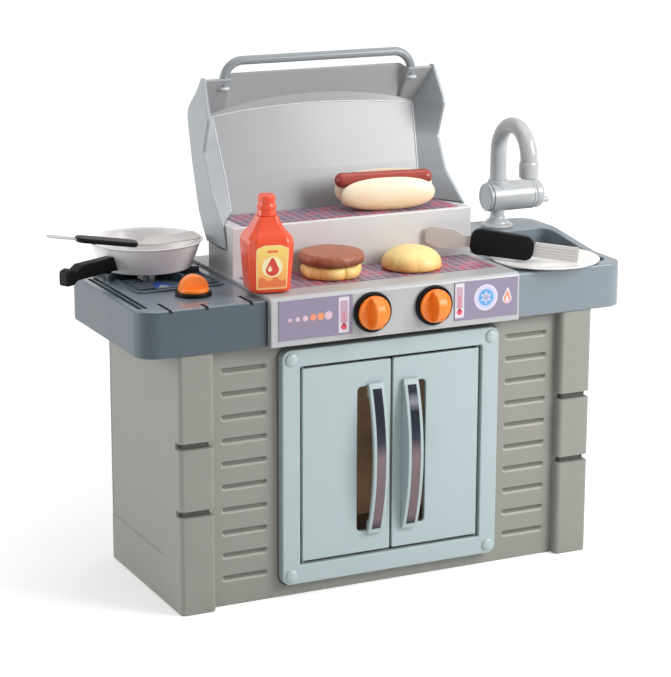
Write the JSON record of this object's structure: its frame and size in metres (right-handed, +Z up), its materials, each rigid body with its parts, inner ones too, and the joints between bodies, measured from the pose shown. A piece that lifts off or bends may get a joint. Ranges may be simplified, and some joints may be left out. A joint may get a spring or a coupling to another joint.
{
  "type": "toy barbecue grill",
  "caption": "Free-standing play barbecue: cabinet with two doors, grill deck under a hinged lid, side burner, sink with swivelling faucet, and loose play food and tools.",
  "frame": {"origin": "centre of the cabinet's footprint on the floor", "axes": "+X to the viewer's right along the front, +Y from the front to the back, +Z up"},
  "size_m": [0.9592, 0.4112, 0.8575],
  "materials": {
    "stone": "fine moulded texture, warm grey",
    "door_blue": "satin, pale grey blue",
    "dark_foil": "glossy dark foil",
    "pin_grey": "plain moulded plastic",
    "slate": "satin, slate grey blue",
    "silver": "satin silver grey",
    "lid_silver": "smooth silver grey",
    "label_purple": "printed film",
    "coal_print": "printed film",
    "flame_print": "printed film",
    "black": "glossy black",
    "orange": "satin orange",
    "faucet_silver": "smooth silver grey",
    "pan_grey": "satin pearl grey",
    "utensil_grey": "satin pale grey",
    "plate_white": "smooth white",
    "sauce_red": "smooth orange red",
    "label_yellow": "printed film",
    "bun_tan": "painted, golden",
    "meat_brown": "satin brown",
    "bun_cream": "painted, cream",
    "sausage_red": "glossy red brown"
  },
  "bodies": {
    "base": {"floor_panel": "stone", "left_side_panel": "stone", "right_side_panel": "stone", "front_panel": "stone", "back_panel": "stone", "door_frame": "door_blue", "bolt_lower_left": "door_blue", "bolt_lower_right": "door_blue", "bolt_upper_left": "door_blue", "bolt_upper_right": "door_blue", "burner_tray": "slate", "burner_label": "flame_print", "burner_bezel": "black", "sink_tray": "slate", "faucet_base": "faucet_silver", "valve_body": "faucet_silver", "valve_end_cap": "faucet_silver", "grill_console": "silver", "control_label_left": "label_purple", "control_label_right": "label_purple", "deck_label": "coal_print", "shelf_label": "coal_print", "left_bezel": "black", "right_bezel": "black", "lid_pin_left": "lid_silver", "lid_pin_right": "lid_silver"},
    "left_door": {"left_door": "door_blue", "left_door_handle": "door_blue", "left_handle_strip": "dark_foil", "left_door_lower_pin": "pin_grey", "left_door_upper_pin": "pin_grey"},
    "right_door": {"right_door": "door_blue", "right_door_handle": "door_blue", "right_handle_strip": "dark_foil", "right_door_lower_pin": "pin_grey", "right_door_upper_pin": "pin_grey"},
    "lid": {"lid": "lid_silver", "lid_handle": "lid_silver"},
    "left_knob": {"left_knob": "orange"},
    "right_knob": {"right_knob": "orange"},
    "burner_knob": {"burner_knob": "orange"},
    "spout": {"spout": "faucet_silver", "nozzle": "faucet_silver"},
    "faucet_lever": {"faucet_lever": "faucet_silver"},
    "pan": {"pan": "pan_grey", "pan_handle": "black"},
    "spatula": {"spatula_blade": "utensil_grey", "spatula_grip": "black"},
    "plate": {"plate": "plate_white"},
    "turner": {"turner_blade": "utensil_grey", "turner_grip": "black"},
    "bottle": {"bottle_body": "sauce_red", "bottle_cap": "sauce_red", "bottle_label": "label_yellow"},
    "bottom_bun": {"bottom_bun": "bun_tan"},
    "patty": {"patty": "meat_brown"},
    "top_bun": {"top_bun": "bun_tan"},
    "hot_dog_bun": {"hot_dog_bun": "bun_cream"},
    "sausage": {"sausage": "sausage_red"}
  },
  "joints": [
    {"name": "left_door_hinge", "type": "hinge", "parent": "base", "child": "left_door", "pos_m": [-0.161, -0.155, 0.2233], "axis": [0, 0, -1], "range_deg": [0, 100]},
    {"name": "right_door_hinge", "type": "hinge", "parent": "base", "child": "right_door", "pos_m": [0.161, -0.155, 0.2233], "axis": [0, 0, 1], "range_deg": [0, 100]},
    {"name": "lid_hinge", "type": "hinge", "parent": "base", "child": "lid", "pos_m": [0, 0.047, 0.585], "axis": [1, 0, 0], "range_deg": [0, 44]},
    {"name": "left_knob_turn", "type": "hinge", "parent": "base", "child": "left_knob", "pos_m": [-0.048, -0.179, 0.475], "axis": [0, -1, 0], "range_deg": [-135, 135]},
    {"name": "right_knob_turn", "type": "hinge", "parent": "base", "child": "right_knob", "pos_m": [0.064, -0.179, 0.475], "axis": [0, -1, 0], "range_deg": [-135, 135]},
    {"name": "burner_knob_turn", "type": "hinge", "parent": "base", "child": "burner_knob", "pos_m": [-0.3178, -0.081, 0.509], "axis": [0, 0, 1], "range_deg": [-135, 135]},
    {"name": "spout_swivel", "type": "hinge", "parent": "base", "child": "spout", "pos_m": [0.3498, 0.115, 0.6116], "axis": [0, 0, 1], "range_deg": [-60, 60]},
    {"name": "faucet_lever_turn", "type": "hinge", "parent": "base", "child": "faucet_lever", "pos_m": [0.4178, 0.115, 0.581], "axis": [-1, 0, 0], "range_deg": [0, 70]},
    {"name": "pan_lift", "type": "slide", "parent": "base", "child": "pan", "axis": [0, 0, -1], "range_m": [-0.12, 0]},
    {"name": "spatula_lift", "type": "slide", "parent": "pan", "child": "spatula", "axis": [0, 0, -1], "range_m": [-0.08, 0]},
    {"name": "plate_lift", "type": "slide", "parent": "base", "child": "plate", "axis": [0, 0, -1], "range_m": [-0.1, 0]},
    {"name": "turner_lift", "type": "slide", "parent": "plate", "child": "turner", "axis": [0, 0, -1], "range_m": [-0.08, 0]},
    {"name": "bottle_lift", "type": "slide", "parent": "base", "child": "bottle", "axis": [0, 0, -1], "range_m": [-0.12, 0]},
    {"name": "bottom_bun_lift", "type": "slide", "parent": "base", "child": "bottom_bun", "axis": [0, 0, -1], "range_m": [-0.08, 0]},
    {"name": "patty_lift", "type": "slide", "parent": "bottom_bun", "child": "patty", "axis": [0, 0, -1], "range_m": [-0.06, 0]},
    {"name": "top_bun_lift", "type": "slide", "parent": "base", "child": "top_bun", "axis": [0, 0, -1], "range_m": [-0.08, 0]},
    {"name": "hot_dog_lift", "type": "slide", "parent": "base", "child": "hot_dog_bun", "axis": [0, 0, -1], "range_m": [-0.06, 0]},
    {"name": "sausage_lift", "type": "slide", "parent": "hot_dog_bun", "child": "sausage", "axis": [0, 0, -1], "range_m": [-0.05, 0]}
  ]
}
